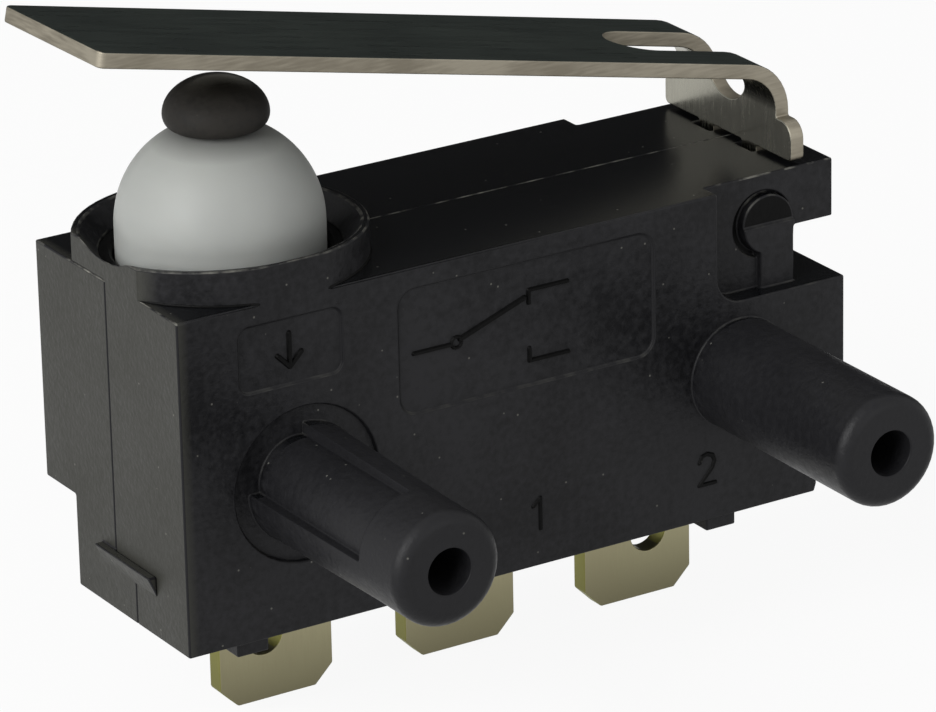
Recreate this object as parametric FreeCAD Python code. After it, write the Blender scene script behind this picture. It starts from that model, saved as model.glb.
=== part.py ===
import FreeCAD, Part
import math
import os
from FreeCAD import Vector

# Sealed ultraminiature snap-action switch with a bent sheet-metal lever.
# Millimetres. While it is drawn, X runs along the body from the plunger end to the lever hinge,
# Y runs from the mounting face to the back, and Z runs up from the floor of the body.
# At the end every piece is moved so that the origin lies on the plain peg's axis in the mounting face.

# Body
body_length = 14.55
body_depth = 5.30
body_height = 6.55
side_wall = 0.75
end_wall = 0.85
floor_wall = 0.90
roof_wall = 0.80
over_shelf = 0.10
edge_break = 0.05

# Hinge end of the body: narrower block, nose over a side notch, shelf under it
hinge_block_length = 2.91
hinge_inset = 0.45
hinge_corner = 0.55
nose_height = 1.17
nose_out = 0.03
notch_height = 1.07
notch_depth = 0.85
foot_inset = 0.65
foot_inset_z = 1.05
foot_chamfer = (0.05, 0.16)

# Hinge boss: a flat tongue with a round head in a hollow
boss_in = 1.50
boss_drop = 0.99
boss_radius = 0.58
boss_raised = 0.13
boss_step = 0.06
hollow_radius = 0.66
hollow_shift = 0.09
hollow_depth = 0.12
tongue_width = 0.76
tongue_in = 0.10

# Back corner step, snap nose and feet at the bottom
corner_step_depth = 1.13
corner_step_z = 1.83
corner_step_x = 1.60
snap_z = 1.24
snap_drop = 0.42
snap_width = 2.05
snap_out = 0.19
snap_y = 1.12
seam_jog_y = 1.93
seam_jog_lap = 0.05
foot_pad_height = 0.26
foot_pad_width = 0.66
foot_pad_x = (1.04, 11.38)
foot_pad_front = (0.06, 1.60)
foot_pad_back = 0.47

# Proud lower corner of the mounting face
wedge_out = 0.38
wedge_run = 1.38
wedge_top_z = 1.98
wedge_lip = 0.12

# Shallow fields in the mounting face: distances from the end and from the top face
field_depth = 0.05
small_field_x = (1.25, 3.42)
small_field_drop = (0.40, 1.68)
small_field_round = 0.22
large_field_x = 4.62
large_field_in = 4.35
large_field_drop = (0.41, 2.87)
large_field_round = 0.36

# Mounting pegs
peg_pitch = 9.53
left_peg_x = 2.60
peg_z = 2.86
peg_radius = 1.10
peg_length = 4.92
peg_round = 0.26
peg_hole_radius = 0.44
peg_hole_depth = 3.20
peg_root_radius = 1.17
flute_radius = 0.82
flute_shift = 0.13
flute_end = 1.32
peg_well_radius = 1.52
peg_well_depth = 0.12

# Collar and cup round the seal
plunger_x = 2.45
collar_radius = 2.74
collar_height = 0.57
cup_radius = 2.25
cup_drop = 0.60
cup_floor = 0.55
lip_radius = 2.60
lip_depth = 0.38

# Plunger, seal and its clamp: heights above the top face of the body
cap_radius = 0.99
cap_wide_rise = 2.75
cap_top_rise = 3.45
cap_edge_rise = 2.53
cap_edge_radius = 0.87
neck_radius = 0.60
shoulder_radius = 0.90
shoulder_rise = 1.75
shoulder_thick = 0.20
stem_radius = 0.40
seal_radius = 1.95
seal_wall = 0.24
seal_centre_rise = 0.65
seal_flange = 0.25
seal_gap = 0.03
clamp_wall = 0.24
clamp_height = 0.52
clamp_bevel = 0.06
guide_radius = 0.90
guide_flange_radius = 1.30
guide_flange = 0.20
guide_length = 0.80
guide_bevel = 0.08
stem_clearance = 0.03
spring_wire = 0.18
spring_mean = 0.76
spring_turns = 5
spring_spans = 14

# Lever: heights above the top face of the body
sheet = 0.30
lever_width = 3.30
lever_tilt = 12.1
lever_tip_x = -0.92
lever_tip_round = 0.16
bend_radius = 1.08
flange_in = 0.89
lever_crown_rise = 2.005
ear_width = 4.30
ear_rise = 0.83
ear_corner = 0.34
ear_foot_corner = 0.12
flange_gap = 0.07
slot_width = 1.38
slot_start_in = 3.57
slot_end_rise = 0.78
toe_width = 0.50
toe_pitch = 1.45
toe_reach = 0.50
toe_thick = 0.25
toe_drop = 0.65
pocket_gap = 0.12
pocket_under = 0.18

# Terminals
blade = 0.40
blade_width = 2.45
blade_pitch = 4.08
blade_x = 3.20
blade_drop = 2.48
blade_corner = 0.38
blade_hole_radius = 0.40
blade_hole_z = -1.15
blade_hole_shift = 0.25
blade_gap = 0.05
resin_depth = 0.35
resin_side = 0.22
resin_across = 1.00
resin_sink = 0.04
riser_width = 0.48

# Snap mechanism
arm = 0.25
arm_width = 1.70
post_x = 6.90
post_width = 2.20
post_top = 4.80
post_groove = 0.10
post_groove_width = 0.30
rocker_z = 4.45
rocker_end_x = 1.75
contact_pivot_z = 2.85
contact_x = 11.20
contact_end_x = 11.75
contact_travel = 0.50
contact_radius = 0.45
contact_height = 0.20
contact_rim = 0.08
rivet_radius = 0.50
rivet_rim = 0.10
rivet_gap = 0.04
landing_reach = 0.65
ceiling_reach = 0.60
pivot_gap = 0.04
pivot_edge = 0.04
pivot_bevel = 0.16
window_width = 1.00
window_z = (3.05, 4.15)
hook_left_x = 5.20
hook_right_x = 9.30
hook_thick = 0.15
hook_width = 0.40
hook_height = 0.42
snap_mean = 0.22
snap_wire = 0.10
snap_turns = 8
snap_spans = 10
snap_lift = 0.29
snap_end_gap = 0.19
snap_end_in = 0.04

# Worked out from the sizes above
mid_y = body_depth / 2
hinge_block_x = body_length - hinge_block_length
notch_x = body_length - notch_depth
foot_inset_x = body_length - foot_inset
nose_z = body_height - nose_height
shelf_z = nose_z - notch_height
flange_x = body_length - flange_in
cup_floor_z = body_height - cup_drop
shoulder_z = body_height + shoulder_rise
toe_z = body_height - toe_drop
lever_crown_z = body_height + lever_crown_rise
ear_z = body_height + ear_rise
slot_end_z = body_height + slot_end_rise
right_peg_x = left_peg_x + peg_pitch
tilt = math.radians(lever_tilt)
bend_x = flange_x + sheet - bend_radius
bend_z = lever_crown_z - bend_radius * math.cos(tilt)
contact_angle = math.asin(contact_travel / 2 / (contact_x - post_x - blade))
blade_centres = [blade_x + number * blade_pitch for number in range(3)]
blade_front = mid_y - blade / 2
inside_floor = floor_wall + blade_gap
cup_bottom_z = cup_floor_z - cup_floor
origin = Vector(right_peg_x, 0, peg_z)


def block(x0, x1, y0, y1, z0, z1):
    return Part.makeBox(x1 - x0, y1 - y0, z1 - z0, Vector(x0, y0, z0))


def round_bar(radius, start, along, length):
    return Part.makeCylinder(radius, length, start, along)


def plate(points, y0, y1):
    """A plate whose outline is drawn in X and Z, from y0 to y1."""
    corners = [Vector(x, y0, z) for x, z in points]
    face = Part.Face(Part.makePolygon(corners + corners[:1]))
    return face.extrude(Vector(0, y1 - y0, 0))


def profile(start, steps):
    """A closed outline of radius and height. A step is an end point, or an arc's way point and end point."""
    first = Vector(start[0], 0, start[1])
    here = first
    edges = []
    for step in steps:
        points = [Vector(radius, 0, z) for radius, z in step]
        if len(points) == 1:
            edges.append(Part.makeLine(here, points[0]))
        else:
            edges.append(Part.Arc(here, points[0], points[1]).toShape())
        here = points[-1]
    edges.append(Part.makeLine(here, first))
    return Part.Face(Part.Wire(edges))


def turned(face, x, y):
    """The solid that a flat outline sweeps about a vertical axis."""
    solid = face.revolve(Vector(0, 0, 0), Vector(0, 0, 1), 360)
    solid.translate(Vector(x, y, 0))
    return solid


def straight_profile(points):
    return profile(points[0], [[point] for point in points[1:]])


def arc_middle(centre_z, radius, start, end):
    """The point half way along the arc from start to end round the point on the axis at centre_z."""
    half = (math.atan2(start[1] - centre_z, start[0]) + math.atan2(end[1] - centre_z, end[0])) / 2
    return (radius * math.cos(half), centre_z + radius * math.sin(half))


def rounded_field(x0, x1, z0, z1, depth, radius):
    """A shallow recess with round corners in the mounting face."""
    field = block(x0, x1, -depth, depth, z0, z1)
    upright = [edge for edge in field.Edges if abs(edge.tangentAt(edge.FirstParameter).y) > 0.9]
    return field.makeFillet(radius, upright)


def body_outline():
    in_x, in_z = foot_chamfer
    return [
        (0, 0),
        (foot_inset_x - in_x, 0),
        (foot_inset_x, in_z),
        (foot_inset_x, foot_inset_z),
        (body_length, foot_inset_z),
        (body_length, shelf_z),
        (notch_x - edge_break, shelf_z),
        (notch_x, nose_z),
        (body_length + nose_out, nose_z),
        (body_length + nose_out, body_height),
        (0, body_height),
    ]


def chamber():
    """The hollow that both halves share, with the thicker places left solid."""
    left = end_wall
    upper_right = hinge_block_x - hinge_inset
    lower_right = foot_inset_x - end_wall
    roof = body_height - roof_wall
    under_cup = plunger_x + cup_radius + side_wall
    under_shelf = shelf_z + over_shelf
    outline = [
        (left, floor_wall),
        (lower_right, floor_wall),
        (lower_right, under_shelf),
        (upper_right, under_shelf),
        (upper_right, roof),
        (under_cup, roof),
        (under_cup, cup_bottom_z),
        (left, cup_bottom_z),
    ]
    hollow = plate(outline, side_wall, body_depth - side_wall)
    corner = block(
        0,
        corner_step_x + side_wall,
        body_depth - corner_step_depth - side_wall / 2,
        body_depth,
        0,
        corner_step_z + side_wall,
    )
    return hollow.cut(corner)


def cup_and_guide_hole():
    up = Vector(0, 0, 1)
    cup = round_bar(cup_radius, Vector(plunger_x, mid_y, cup_floor_z), up, body_height)
    hole = round_bar(guide_radius, Vector(plunger_x, mid_y, cup_bottom_z - 0.1), up, body_height)
    return cup.fuse(hole)


def blade_slots():
    """The slots that the blades pass through, each with a well for the sealing resin."""
    cuts = []
    for centre in blade_centres:
        half = blade_width / 2 + blade_gap
        slot = block(centre - half, centre + half, blade_front - blade_gap, blade_front + blade + blade_gap,
                     -0.1, floor_wall + 0.1)
        side = half + resin_side
        well = block(centre - side, centre + side, mid_y - resin_across / 2, mid_y + resin_across / 2,
                     -0.1, resin_depth)
        cuts += [slot, well]
    return cuts


def lever_pockets():
    """Two pockets under the top face that hold the toes of the lever."""
    cuts = []
    for side in (-1, 1):
        centre = mid_y + side * toe_pitch / 2
        y0 = centre - toe_width / 2 - pocket_gap / 2
        y1 = centre + toe_width / 2 + pocket_gap / 2
        shaft = block(flange_x - pocket_gap, flange_x + sheet + pocket_gap, y0, y1,
                      toe_z - pocket_under, body_height + 0.1)
        under = block(flange_x - toe_reach - pocket_gap, flange_x + sheet, y0, y1,
                      toe_z - pocket_under, toe_z + toe_thick + pocket_gap / 2)
        cuts += [shaft, under]
    return cuts


def hinge_insets():
    """The narrower block at the hinge end, set back at the front and at the back."""
    far = body_length + 1
    high = body_height + 1
    front = block(hinge_block_x, far, -1, hinge_inset, shelf_z, high)
    low_edge = [
        edge
        for edge in front.Edges
        if abs(edge.tangentAt(edge.FirstParameter).y) > 0.9
        and edge.CenterOfMass.x < hinge_block_x + 0.01
        and edge.CenterOfMass.z < shelf_z + 0.01
    ]
    front = front.makeFillet(hinge_corner, low_edge)
    back = block(hinge_block_x, far, body_depth - hinge_inset, body_depth + 1, shelf_z, high)
    return [front, back]


def seam_jog():
    """The stretch of the end wall under the snap nose that belongs to the rear half."""
    return block(-1, end_wall, seam_jog_y, mid_y, -0.1, snap_z - snap_drop + seam_jog_lap)


def corner_wedge():
    """The proud lower corner of the mounting face, which runs out along a slope."""
    inside = 0.2
    low_z = wedge_top_z - wedge_lip
    low = [Vector(0, -wedge_out, 0), Vector(wedge_run, 0, 0), Vector(wedge_run, inside, 0),
           Vector(0, inside, 0)]
    top = [Vector(0, -wedge_out, wedge_top_z), Vector(wedge_lip, 0, low_z), Vector(wedge_lip, inside, low_z),
           Vector(0, inside, low_z)]
    wires = [Part.makePolygon(corners + corners[:1]) for corners in (low, top)]
    return Part.makeLoft(wires, True, True)


def feet(y0, y1):
    pads = []
    for x in foot_pad_x:
        pads.append(block(x, x + foot_pad_width, y0, y1, -foot_pad_height, 0.1))
    return pads


def plain_peg(x):
    back = Vector(x, 0.2, peg_z)
    bar = round_bar(peg_radius, back, Vector(0, -1, 0), peg_length + 0.2)
    rim = [edge for edge in bar.Edges if edge.CenterOfMass.y < -peg_length + 0.01]
    return bar.makeFillet(peg_round, rim)


def peg_hole(x):
    mouth = Vector(x, -peg_length - 0.1, peg_z)
    return round_bar(peg_hole_radius, mouth, Vector(0, 1, 0), peg_hole_depth + 0.1)


def fluted_peg():
    """The left peg: a drafted shaft, with two opposite quarters relieved to a lobe, and a full round tip."""
    bar = plain_peg(left_peg_x)
    length = peg_length - flute_end + peg_well_depth
    root = Vector(left_peg_x, peg_well_depth, peg_z)
    shaft = Part.makeCone(peg_root_radius, peg_radius, length, root, Vector(0, -1, 0))
    buried = round_bar(peg_root_radius, root + Vector(0, 0.1, 0), Vector(0, -1, 0), 0.1)
    bar = bar.fuse([shaft, buried])
    wide = peg_root_radius + 0.2
    for side in (-1, 1):
        x = left_peg_x + side * wide / 2
        z = peg_z - side * wide / 2
        quarter = block(x - wide / 2, x + wide / 2, peg_well_depth - length, peg_well_depth,
                        z - wide / 2, z + wide / 2)
        middle = Vector(left_peg_x + side * flute_shift, peg_well_depth + 0.1, peg_z - side * flute_shift)
        lobe = round_bar(flute_radius, middle, Vector(0, -1, 0), length + 0.3)
        bar = bar.cut(quarter.cut(lobe))
    return bar


def boss_hollow():
    """The round hollow that the boss's head stands in, wider on the left of the head."""
    head_x = body_length - boss_in - hollow_shift
    head_z = body_height - boss_drop
    return round_bar(hollow_radius, Vector(head_x, 0, head_z), Vector(0, 1, 0), hinge_inset + hollow_depth)


def hinge_boss():
    """The flat tongue on the hinge block's inset face, with a round head whose upper half is lower."""
    head_x = body_length - boss_in
    head_z = body_height - boss_drop
    face = hinge_inset - boss_raised
    back = hinge_inset + hollow_depth + 0.1
    disc = round_bar(boss_radius, Vector(head_x, face, head_z), Vector(0, 1, 0), back - face)
    upper = block(head_x - boss_radius, head_x + boss_radius, 0, face + boss_step, head_z, body_height)
    right = notch_x - tongue_in
    tongue = block(right - tongue_width, right, face, back, shelf_z - 0.1, head_z)
    return [disc.cut(upper), tongue]


def on_mounting_outline(edge):
    """The straight edges round the mounting face that a mould leaves slightly round."""
    box = edge.BoundBox
    straight = edge.Curve.TypeId.endswith("Line")
    on_face = box.YMin > -0.001 and box.YMax < 0.001
    top = box.ZMin > body_height - 0.001 and box.XLength > 1
    end = box.XMin > body_length - 0.001 and box.ZLength > 1
    return straight and on_face and (top or end)


def collar():
    """The wall round the cup, cut off level with the body's end and sides, with a sloping lip."""
    top = body_height + collar_height
    centre = Vector(plunger_x, mid_y, body_height - 2 * edge_break)
    ring = round_bar(collar_radius, centre, Vector(0, 0, 1), top - centre.z)
    above = block(0, body_length, 0, body_depth, body_height, top)
    in_front = block(0, body_length, 0, mid_y, centre.z, body_height)
    slope_foot = Vector(plunger_x, mid_y, top - lip_depth)
    slope = Part.makeCone(cup_radius, lip_radius, lip_depth, slope_foot, Vector(0, 0, 1))
    return ring.common(above.fuse(in_front)).cut(slope)


def fields():
    top, bottom = small_field_drop
    small = rounded_field(*small_field_x, body_height - bottom, body_height - top,
                          field_depth, small_field_round)
    top, bottom = large_field_drop
    right = body_length - large_field_in
    large = rounded_field(large_field_x, right, body_height - bottom, body_height - top,
                          field_depth, large_field_round)
    return [small, large]


def front_housing():
    shell = plate(body_outline(), 0, mid_y)
    shell = shell.cut(hinge_insets() + [boss_hollow()])
    shell = shell.makeFillet(edge_break, [edge for edge in shell.Edges if on_mounting_outline(edge)])
    shell = shell.fuse([collar(), corner_wedge()] + hinge_boss() + feet(*foot_pad_front))
    shell = shell.cut([chamber(), cup_and_guide_hole(), seam_jog()] + blade_slots() + lever_pockets())
    peg_well = round_bar(peg_well_radius, Vector(left_peg_x, 0, peg_z), Vector(0, 1, 0), peg_well_depth)
    shell = shell.cut([peg_well] + fields())
    shell = shell.fuse([fluted_peg(), plain_peg(right_peg_x)])
    shell = shell.cut([peg_hole(left_peg_x), peg_hole(right_peg_x)])
    return shell.removeSplitter()


def snap_nose():
    """The snap nose on the end wall: a ledge on top that runs out downwards."""
    low = snap_z - snap_drop
    points = [(0.1, low), (0, low), (-snap_out, snap_z), (0.1, snap_z)]
    return plate(points, snap_y, snap_y + snap_width)


def rear_housing():
    shell = plate(body_outline(), mid_y, body_depth)
    shell = shell.cut(hinge_insets())
    shell = shell.fuse(seam_jog().common(plate(body_outline(), 0, body_depth)))
    back = body_depth - corner_step_depth
    corner = block(-1, corner_step_x, back, body_depth + 1, -1, corner_step_z)
    hollows = [chamber(), cup_and_guide_hole(), corner] + blade_slots() + lever_pockets()
    shell = shell.cut(hollows)
    nose = snap_nose()
    inside = nose.common(block(0, 1, 0, mid_y, 0, body_height))
    shell = shell.fuse([nose.cut(inside)] + feet(back - foot_pad_back, back))
    return shell.removeSplitter()


def lever_plate():
    """The side outline of the folded lever: straight arm, bend and upright flange."""
    flange_bottom = body_height + flange_gap
    outer = bend_radius
    inner = bend_radius - sheet
    centre = Vector(bend_x, 0, bend_z)
    up = Vector(math.sin(tilt), 0, math.cos(tilt))
    half = Vector(math.cos(math.pi / 4 - tilt / 2), 0, math.sin(math.pi / 4 - tilt / 2))
    reach = (bend_x + outer * up.x - lever_tip_x) / math.cos(tilt)
    back = Vector(-math.cos(tilt), 0, math.sin(tilt)).multiply(reach)
    middle = Vector(math.cos((math.pi / 2 - tilt) / 2), 0, math.sin((math.pi / 2 - tilt) / 2))
    outer_start = centre + Vector(up).multiply(outer)
    inner_start = centre + Vector(up).multiply(inner)
    outer_end = centre + Vector(outer, 0, 0)
    inner_end = centre + Vector(inner, 0, 0)
    tip_top = outer_start + back
    tip_low = inner_start + back
    foot_out = Vector(outer_end.x, 0, flange_bottom)
    foot_in = Vector(inner_end.x, 0, flange_bottom)
    edges = [
        Part.makeLine(tip_top, outer_start),
        Part.Arc(outer_start, centre + Vector(middle).multiply(outer), outer_end).toShape(),
        Part.makeLine(outer_end, foot_out),
        Part.makeLine(foot_out, foot_in),
        Part.makeLine(foot_in, inner_end),
        Part.Arc(inner_end, centre + Vector(middle).multiply(inner), inner_start).toShape(),
        Part.makeLine(inner_start, tip_low),
        Part.makeLine(tip_low, tip_top),
    ]
    face = Part.Face(Part.Wire(edges))
    solid = face.extrude(Vector(0, lever_width, 0))
    solid.translate(Vector(0, mid_y - lever_width / 2, 0))
    return solid


def lever_ears():
    """The upright flange's two ears, with round shoulders and nearly square feet."""
    ears = block(flange_x, flange_x + sheet, mid_y - ear_width / 2, mid_y + ear_width / 2,
                 body_height + flange_gap, ear_z)
    across = [edge for edge in ears.Edges if edge.BoundBox.XLength > sheet / 2]
    shoulders = [edge for edge in across if edge.CenterOfMass.z > ear_z - 0.01]
    ears = ears.makeFillet(ear_corner, shoulders)
    lower = [edge for edge in ears.Edges if edge.BoundBox.XLength > sheet / 2
             and edge.CenterOfMass.z < body_height + flange_gap + 0.01]
    return ears.makeFillet(ear_foot_corner, lower)


def lever_toes():
    """The two toes under the flange, bent forward inside the pockets of the body."""
    toes = []
    for side in (-1, 1):
        centre = mid_y + side * toe_pitch / 2
        y0 = centre - toe_width / 2
        y1 = centre + toe_width / 2
        toes.append(block(flange_x, flange_x + sheet, y0, y1, toe_z, ear_z - ear_corner))
        toes.append(block(flange_x - toe_reach, flange_x + sheet, y0, y1, toe_z, toe_z + toe_thick))
    return toes


def lever_slot():
    """The oblong slot that runs from the arm through the bend into the flange, with two round ends."""
    half = slot_width / 2
    through = Vector(math.sin(tilt), 0, math.cos(tilt))
    round_x = body_length - slot_start_in + half * math.cos(tilt)
    round_z = lever_crown_z + (bend_x + bend_radius * math.sin(tilt) - round_x) * math.tan(tilt)
    start = Vector(round_x, mid_y, round_z)
    foot_z = slot_end_z + half
    thick = 4 * sheet
    past_bend = flange_x + 2 * sheet - round_x
    top_end = round_bar(half, start - Vector(through).multiply(thick / 2), through, thick)
    along_arm = Part.makeBox(past_bend, slot_width, thick, Vector(0, -half, -thick / 2))
    along_arm.rotate(Vector(0, 0, 0), Vector(0, 1, 0), lever_tilt)
    along_arm.translate(start)
    low_end = round_bar(half, Vector(flange_x - thick, mid_y, foot_z), Vector(1, 0, 0), 2 * thick)
    along_flange = block(bend_x, flange_x + thick, mid_y - half, mid_y + half, foot_z, lever_crown_z + sheet)
    below = block(round_x - thick, flange_x + thick, 0, body_depth, 0, foot_z)
    return [top_end, along_arm.cut(below), low_end, along_flange]


def lever():
    solid = lever_plate()
    at_tip = [edge for edge in solid.Edges if edge.BoundBox.XMax < lever_tip_x + sheet]
    tip_edges = [edge for edge in at_tip if edge.BoundBox.YLength < 0.01]
    solid = solid.makeFillet(lever_tip_round, tip_edges)
    solid = solid.fuse([lever_ears()] + lever_toes()).removeSplitter()
    return solid.cut(lever_slot()).removeSplitter()


def plunger():
    """The button with its domed crown, and the stem with a tapered end that runs down to the arm."""
    wide_z = body_height + cap_wide_rise
    top_z = body_height + cap_top_rise
    edge_z = body_height + cap_edge_rise
    tip_z = rocker_z + arm / 2 + pivot_gap
    tip_radius = stem_radius / 4
    root_half = math.sqrt(0.5)
    crown_middle = (cap_radius * root_half, wide_z + (top_z - wide_z) * root_half)
    steps = [
        [crown_middle, (cap_radius, wide_z)],
        [(cap_radius * 0.97, (wide_z + edge_z) / 2), (cap_edge_radius, edge_z)],
        [(neck_radius, edge_z)],
        [(neck_radius, shoulder_z + shoulder_thick)],
        [(shoulder_radius, shoulder_z + shoulder_thick)],
        [(shoulder_radius, shoulder_z)],
        [(stem_radius, shoulder_z)],
        [(stem_radius, tip_z + stem_radius - tip_radius)],
        [(tip_radius, tip_z)],
        [(0, tip_z)],
    ]
    return turned(profile((0, top_z), steps), plunger_x, mid_y)


def dome_seal():
    """The silicone dome: a round crown on a short skirt, with a flange on the cup floor."""
    centre_z = body_height + seal_centre_rise
    inner = seal_radius - seal_wall
    hole = neck_radius + seal_gap
    flange_in = guide_flange_radius + seal_gap
    flange_out = cup_radius - seal_gap
    top = cup_floor_z + seal_flange
    outer_top = (hole, centre_z + math.sqrt(seal_radius ** 2 - hole ** 2))
    inner_top = (hole, centre_z + math.sqrt(inner ** 2 - hole ** 2))
    outer_end = (seal_radius, centre_z)
    inner_end = (inner, centre_z)
    steps = [
        [arc_middle(centre_z, seal_radius, outer_top, outer_end), outer_end],
        [(seal_radius, top)],
        [(flange_out, top)],
        [(flange_out, cup_floor_z)],
        [(flange_in, cup_floor_z)],
        [(flange_in, top)],
        [(inner, top)],
        [inner_end],
        [arc_middle(centre_z, inner, inner_end, inner_top), inner_top],
    ]
    return turned(profile(outer_top, steps), plunger_x, mid_y)


def seal_clamp_ring():
    low = cup_floor_z + seal_flange
    top = low + clamp_height
    outer = cup_radius
    inner = cup_radius - clamp_wall
    points = [(inner, low), (outer, low), (outer, top), (inner + clamp_bevel, top),
              (inner, top - clamp_bevel)]
    return turned(straight_profile(points), plunger_x, mid_y)


def plunger_guide():
    bore = stem_radius + stem_clearance
    low = cup_floor_z - guide_length
    top = cup_floor_z + guide_flange
    points = [(bore, low), (guide_radius, low), (guide_radius, cup_floor_z),
              (guide_flange_radius, cup_floor_z), (guide_flange_radius, top),
              (bore + guide_bevel, top), (bore, top - guide_bevel)]
    return turned(straight_profile(points), plunger_x, mid_y)


def coil(mean, wire, length, turns, spans):
    """A coil along +Z from 0 to length: six-sided wire in short straight spans with mitred corners."""
    count = turns * spans
    rise = (length - wire) / count
    path = []
    for number in range(count + 1):
        angle = 2 * math.pi * number / spans
        path.append(Vector(mean * math.cos(angle), mean * math.sin(angle), wire / 2 + number * rise))
    along = (path[1] - path[0]).normalize()
    up = along.cross(Vector(1, 0, 0)).normalize()
    out = along.cross(up)
    ring = []
    for number in range(6):
        angle = math.pi / 3 * number
        ring.append(path[0] + out * (wire / 2 * math.cos(angle)) + up * (wire / 2 * math.sin(angle)))
    section = Part.makePolygon(ring + ring[:1])
    return Part.makePolygon(path).makePipeShell([section], True, False, 1)


def return_spring():
    low = cup_floor_z + guide_flange
    solid = coil(spring_mean, spring_wire, shoulder_z - low - 2 * seal_gap, spring_turns, spring_spans)
    solid.translate(Vector(plunger_x, mid_y, low + seal_gap))
    return solid


def blade_outline(centre, top):
    half = blade_width / 2
    low = -blade_drop
    return [
        (centre - half, top),
        (centre - half, low + blade_corner),
        (centre - half + blade_corner, low),
        (centre + half - blade_corner, low),
        (centre + half, low + blade_corner),
        (centre + half, top),
    ]


def terminal_blade(centre, shift, top):
    solid = plate(blade_outline(centre, top), blade_front, blade_front + blade)
    in_front = Vector(centre + shift, blade_front - blade, blade_hole_z)
    hole = round_bar(blade_hole_radius, in_front, Vector(0, 1, 0), 3 * blade)
    return solid.cut(hole)


def common_terminal():
    """Middle blade, folded back over the floor and up into the post that both arms pivot on."""
    centre = blade_centres[1]
    solid = terminal_blade(centre, 0, inside_floor + blade)
    y1 = mid_y + post_width / 2
    base = block(post_x, centre + blade_width / 2, blade_front, y1, inside_floor, inside_floor + blade)
    post = block(post_x, post_x + blade, mid_y - post_width / 2, y1, inside_floor, post_top)
    window = block(post_x - 1, post_x + 1, mid_y - window_width / 2, mid_y + window_width / 2, *window_z)
    v = post_groove_width / 2
    left = plate([(post_x - 0.01, rocker_z - v), (post_x + post_groove, rocker_z),
                  (post_x - 0.01, rocker_z + v)], 0, body_depth)
    face = post_x + blade
    right = plate([(face + 0.01, contact_pivot_z - v), (face - post_groove, contact_pivot_z),
                   (face + 0.01, contact_pivot_z + v)], 0, body_depth)
    return solid.fuse([base, post]).cut([window, left, right]).removeSplitter()


def no_terminal():
    """Left blade: folded back, a runner along the rear wall, and a tab under the moving contact."""
    centre = blade_centres[0]
    solid = terminal_blade(centre, -blade_hole_shift, inside_floor + blade)
    rear = body_depth - side_wall - blade_gap * 2
    left = corner_step_x + side_wall + blade_gap
    tab_top = landing_height() - contact_height
    base = block(left, centre + blade_width / 2, blade_front, rear, inside_floor, inside_floor + blade)
    runner = block(left, contact_end_x, rear - blade, rear, inside_floor, tab_top)
    tab = block(contact_x - landing_reach, contact_end_x, mid_y - landing_reach, rear,
                tab_top - blade, tab_top)
    return solid.fuse([base, runner, tab]).removeSplitter()


def landing_height():
    """Height of the lower contact's face, just under the moving contact when it is down."""
    swing = (contact_x - post_x - blade) * math.sin(contact_angle)
    return contact_pivot_z - swing - arm / 2 - contact_height - rivet_gap


def ceiling_height():
    """Height of the upper contact's face, just over the moving contact at rest."""
    swing = (contact_x - post_x - blade) * math.sin(contact_angle)
    return contact_pivot_z + swing + arm / 2 + contact_height + rivet_gap


def nc_terminal():
    """Right blade: narrowed in the floor, a riser at the end wall, and a tab over the moving contact."""
    centre = blade_centres[2]
    neck_z = floor_wall / 2
    solid = terminal_blade(centre, blade_hole_shift, neck_z)
    right = centre + blade_width / 2
    tab_low = ceiling_height() + contact_height
    riser = block(right - riser_width, right, blade_front, blade_front + blade, neck_z, tab_low + blade)
    tab = block(contact_x - landing_reach, right, mid_y - ceiling_reach, mid_y + ceiling_reach,
                tab_low, tab_low + blade)
    return solid.fuse([riser, tab]).removeSplitter()


def contact_rivet(face_z, tab_z):
    """A contact rivet head with a slightly smaller face."""
    toward = 1 if face_z > tab_z else -1
    points = [(0, tab_z), (rivet_radius, tab_z), (rivet_radius, face_z - toward * rivet_rim),
              (rivet_radius - rivet_rim, face_z), (0, face_z)]
    return turned(straight_profile(points), contact_x, mid_y)


def no_contact():
    return contact_rivet(landing_height(), landing_height() - contact_height)


def nc_contact():
    return contact_rivet(ceiling_height(), ceiling_height() + contact_height)


def actuator_arm():
    """Flat arm from the post to the stem, with a bevelled pivot edge and a hook for the spring."""
    edge_x = post_x + post_groove - pivot_gap
    edge = pivot_edge / 2
    z0 = rocker_z - arm / 2
    z1 = rocker_z + arm / 2
    points = [(rocker_end_x, z0), (edge_x - pivot_bevel, z0), (edge_x, rocker_z - edge),
              (edge_x, rocker_z + edge), (edge_x - pivot_bevel, z1), (rocker_end_x, z1)]
    solid = plate(points, mid_y - arm_width / 2, mid_y + arm_width / 2)
    hook = block(hook_left_x - hook_thick, hook_left_x, mid_y - hook_width / 2, mid_y + hook_width / 2,
                 z0 - hook_height, z0 + arm / 2)
    return solid.fuse(hook).removeSplitter()


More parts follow.
